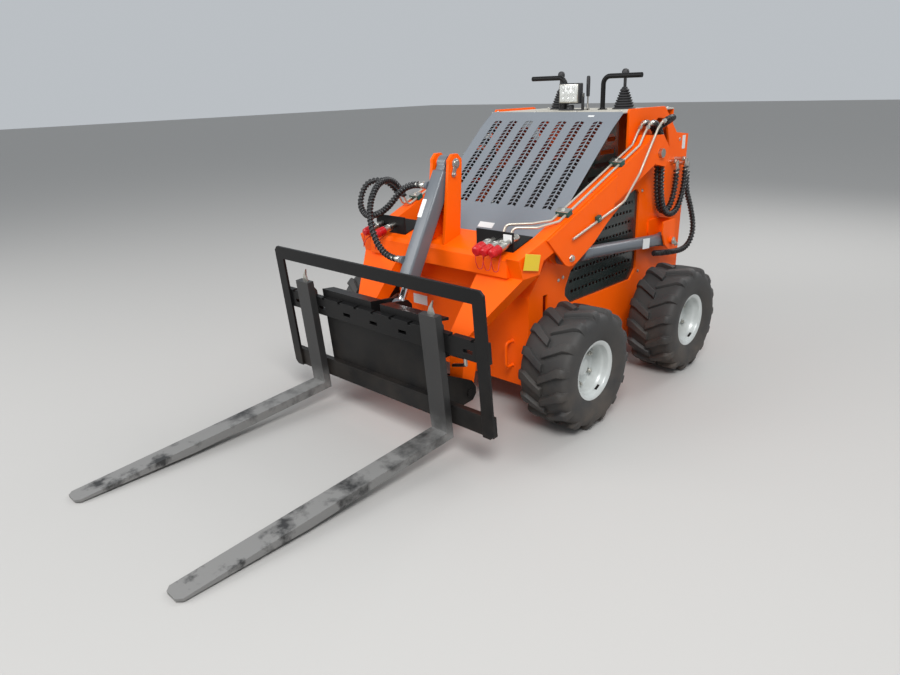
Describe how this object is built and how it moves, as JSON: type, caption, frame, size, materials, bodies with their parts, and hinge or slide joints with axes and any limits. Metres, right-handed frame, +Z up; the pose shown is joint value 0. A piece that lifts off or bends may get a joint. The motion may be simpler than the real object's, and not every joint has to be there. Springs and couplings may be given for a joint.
{
  "type": "skid steer loader",
  "caption": "Compact wheeled skid steer loader with lift arms, tilt cylinder and pallet forks, driven from levers at the rear.",
  "frame": {"origin": "on the ground in the middle of the overall length, between the left and right wheels", "axes": "+Z up, -Y towards the fork tips, +X towards the machine's left side"},
  "size_m": [1.31, 2.8172, 1.321],
  "materials": {
    "orange_paint": "bright orange gloss powder coat on welded plate",
    "dark_cast": "dark motor castings",
    "dark_sheet": "dark grey green satin powder coat on thin sheet",
    "engine_metal": "plain dark engine block",
    "hood_paint": "mid blue grey satin paint",
    "hose_rubber": "black braided hose in a spiral guard",
    "cap_plastic": "red moulded dust caps",
    "cream_sheet": "pale cream grey sheet",
    "black_rubber": "black moulded rubber",
    "black_steel": "black paint on flat steel, worn at the edges",
    "lamp_body": "dark lamp housing with clear lens",
    "zinc": "zinc plated steel",
    "cylinder_paint": "dark grey gloss paint",
    "rod_chrome": "polished hard chrome",
    "tyre_rubber": "black lugged tyre rubber",
    "rim_paint": "white silver painted rim"
  },
  "bodies": {
    "chassis": {"chassis_frame": "orange_paint", "wheel_motors": "dark_cast", "side_grilles": "dark_sheet", "engine_block": "engine_metal", "hood": "hood_paint", "hood_side_sheets": "dark_sheet", "control_console": "cream_sheet", "rear_cover": "dark_sheet", "joysticks": "black_rubber", "hand_rails": "black_steel", "work_lamp": "lamp_body", "throttle_lever": "zinc", "nose_handles": "orange_paint", "arm_buffers": "black_rubber", "pivot_pins": "zinc", "lift_clevises": "orange_paint", "hose_elbows": "zinc", "left_tail_hose_inner": "hose_rubber", "left_tail_hose_outer": "hose_rubber", "right_tail_hose_inner": "hose_rubber", "right_tail_hose_outer": "hose_rubber", "left_lift_hose": "hose_rubber", "right_lift_hose": "hose_rubber", "left_side_hose": "hose_rubber"},
    "lift_arm": {"left_arm": "orange_paint", "right_arm": "orange_paint", "cross_member": "orange_paint", "tilt_tower": "orange_paint", "coupler_brackets": "black_steel", "couplers": "zinc", "dust_caps": "cap_plastic", "arm_tubes": "zinc", "tilt_hose_upper": "hose_rubber", "tilt_hose_lower": "hose_rubber"},
    "left_lift_barrel_body": {"left_lift_barrel": "cylinder_paint"},
    "right_lift_barrel_body": {"right_lift_barrel": "cylinder_paint"},
    "left_lift_rod_body": {"left_lift_rod": "rod_chrome"},
    "right_lift_rod_body": {"right_lift_rod": "rod_chrome"},
    "tilt_barrel_body": {"tilt_barrel": "cylinder_paint", "tilt_ports": "zinc"},
    "tilt_rod_body": {"tilt_rod": "rod_chrome"},
    "carriage": {"attach_plate": "black_steel", "latch_lever": "zinc", "fork_frame": "black_steel", "left_fork": "black_steel", "right_fork": "black_steel", "fork_latches": "zinc"},
    "left_front_wheel": {"left_front_tyre": "tyre_rubber", "left_front_rim": "rim_paint"},
    "left_rear_wheel": {"left_rear_tyre": "tyre_rubber", "left_rear_rim": "rim_paint"},
    "right_front_wheel": {"right_front_tyre": "tyre_rubber", "right_front_rim": "rim_paint"},
    "right_rear_wheel": {"right_rear_tyre": "tyre_rubber", "right_rear_rim": "rim_paint"}
  },
  "joints": [
    {"name": "arm_lift", "type": "hinge", "parent": "chassis", "child": "lift_arm", "pos_m": [0, 0.93661, 0.965], "axis": [-1, 0, 0], "range_deg": [0, 60], "deforming": ["left_tail_hose_inner", "right_tail_hose_inner", "left_tail_hose_outer", "right_tail_hose_outer", "left_side_hose"]},
    {"name": "carriage_tilt", "type": "hinge", "parent": "lift_arm", "child": "carriage", "pos_m": [0, -0.21639, 0.19], "axis": [-1, 0, 0], "range_deg": [-65, 15]},
    {"name": "left_lift_swing", "type": "hinge", "parent": "chassis", "child": "left_lift_barrel_body", "pos_m": [0.41, 1.06361, 0.56], "axis": [-1, 0, 0], "range_deg": [0, 43]},
    {"name": "left_lift_extend", "type": "slide", "parent": "left_lift_barrel_body", "child": "left_lift_rod_body", "axis": [0, -0.9966, 0.0819], "range_m": [0, 0.315]},
    {"name": "right_lift_swing", "type": "hinge", "parent": "chassis", "child": "right_lift_barrel_body", "pos_m": [-0.41, 1.06361, 0.56], "axis": [-1, 0, 0], "range_deg": [0, 43]},
    {"name": "right_lift_extend", "type": "slide", "parent": "right_lift_barrel_body", "child": "right_lift_rod_body", "axis": [0, -0.9966, 0.0819], "range_m": [0, 0.315]},
    {"name": "tilt_swing", "type": "hinge", "parent": "lift_arm", "child": "tilt_barrel_body", "pos_m": [0, 0.04161, 0.987], "axis": [-1, 0, 0], "range_deg": [-4, 12]},
    {"name": "tilt_extend", "type": "slide", "parent": "tilt_barrel_body", "child": "tilt_rod_body", "axis": [0, -0.4802, -0.8772], "range_m": [-0.056, 0.24]},
    {"name": "left_front_wheel_turn", "type": "hinge", "parent": "chassis", "child": "left_front_wheel", "pos_m": [0.545, 0.15861, 0.238], "axis": [1, 0, 0], "continuous": true},
    {"name": "left_rear_wheel_turn", "type": "hinge", "parent": "chassis", "child": "left_rear_wheel", "pos_m": [0.545, 0.93861, 0.238], "axis": [1, 0, 0], "continuous": true},
    {"name": "right_front_wheel_turn", "type": "hinge", "parent": "chassis", "child": "right_front_wheel", "pos_m": [-0.545, 0.15861, 0.238], "axis": [1, 0, 0], "continuous": true},
    {"name": "right_rear_wheel_turn", "type": "hinge", "parent": "chassis", "child": "right_rear_wheel", "pos_m": [-0.545, 0.93861, 0.238], "axis": [1, 0, 0], "continuous": true}
  ],
  "couplings": [
    {"joint": "left_lift_swing", "follows": "arm_lift", "ratio": 0.709},
    {"joint": "right_lift_swing", "follows": "arm_lift", "ratio": 0.709},
    {"joint": "left_lift_extend", "follows": "arm_lift", "m_per_rad": 0.298},
    {"joint": "right_lift_extend", "follows": "arm_lift", "m_per_rad": 0.298},
    {"joint": "tilt_swing", "follows": "carriage_tilt", "ratio": -0.15},
    {"joint": "tilt_extend", "follows": "carriage_tilt", "m_per_rad": -0.21}
  ]
}
